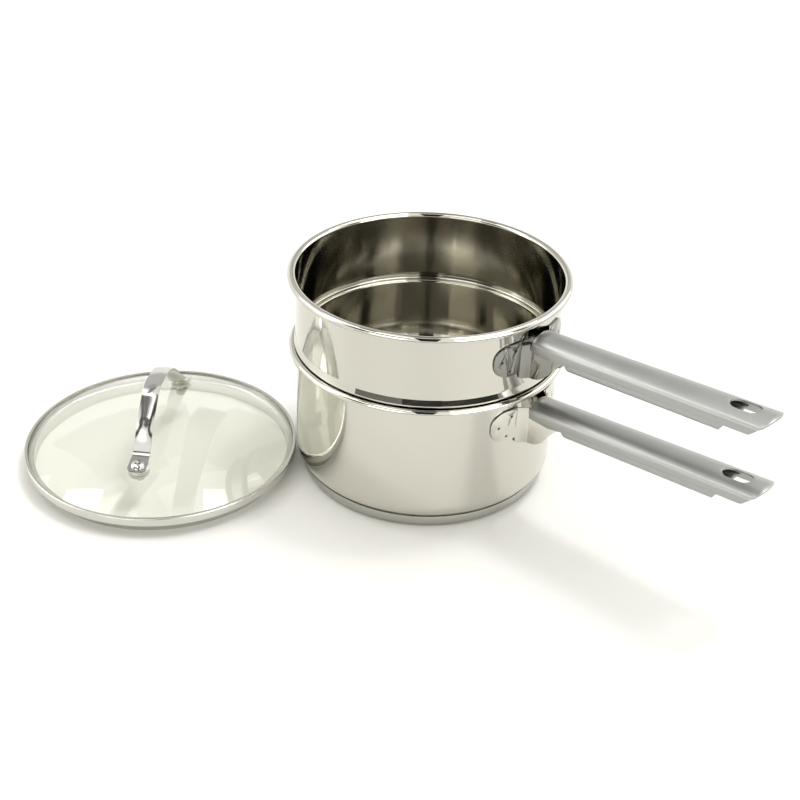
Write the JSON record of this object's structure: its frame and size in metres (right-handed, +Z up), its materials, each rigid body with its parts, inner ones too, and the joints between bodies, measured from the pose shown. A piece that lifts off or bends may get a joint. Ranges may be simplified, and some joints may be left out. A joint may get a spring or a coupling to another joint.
{
  "type": "double boiler",
  "caption": "Stainless steel double boiler: a stepped insert seated in a long-handled saucepan, with a domed glass lid and strap handle lying beside it.",
  "frame": {"origin": "centre of the saucepan's flat base, on the table", "axes": "+Z up along the axis of both pans; the lid lies on the -X side; both handles reach out between +X and -Y"},
  "size_m": [0.4784, 0.2681, 0.1479],
  "materials": {
    "polished_steel": "mirror polished stainless steel",
    "base_steel": "satin stainless steel",
    "core_aluminium": "plain, sealed under the cap",
    "bracket_steel": "polished stainless steel",
    "handle_steel": "satin stainless steel",
    "tray_steel": "satin stainless steel",
    "rim_steel": "fine satin stainless steel",
    "strap_steel": "polished stainless steel",
    "fastener_steel": "polished stainless steel",
    "gasket_rubber": "matt, pale translucent silicone",
    "lid_glass": "clear with a faint green tint"
  },
  "bodies": {
    "saucepan": {"saucepan_shell": "polished_steel", "base_core": "core_aluminium", "base_cap": "base_steel", "saucepan_bracket": "bracket_steel", "saucepan_handle": "handle_steel", "saucepan_handle_tray": "tray_steel"},
    "insert": {"insert_shell": "polished_steel", "insert_bracket": "bracket_steel", "insert_handle": "handle_steel", "insert_handle_tray": "tray_steel"},
    "lid": {"lid_glass": "lid_glass", "lid_rim": "rim_steel", "lid_strap": "strap_steel", "strap_screw_near": "fastener_steel", "strap_washer_near": "fastener_steel", "upper_gasket_near": "gasket_rubber", "lower_gasket_near": "gasket_rubber", "lower_washer_near": "fastener_steel", "cap_nut_near": "fastener_steel", "strap_screw_far": "fastener_steel", "strap_washer_far": "fastener_steel", "upper_gasket_far": "gasket_rubber", "lower_gasket_far": "gasket_rubber", "lower_washer_far": "fastener_steel", "cap_nut_far": "fastener_steel"}
  },
  "joints": [
    {"name": "insert_lift", "type": "slide", "parent": "saucepan", "child": "insert", "axis": [0, 0, 1], "range_m": [0, 0.12]},
    {"name": "lid_lift", "type": "slide", "parent": "saucepan", "child": "lid", "axis": [-0.17, -0.01, 0.9854], "range_m": [0, 0.25]}
  ]
}
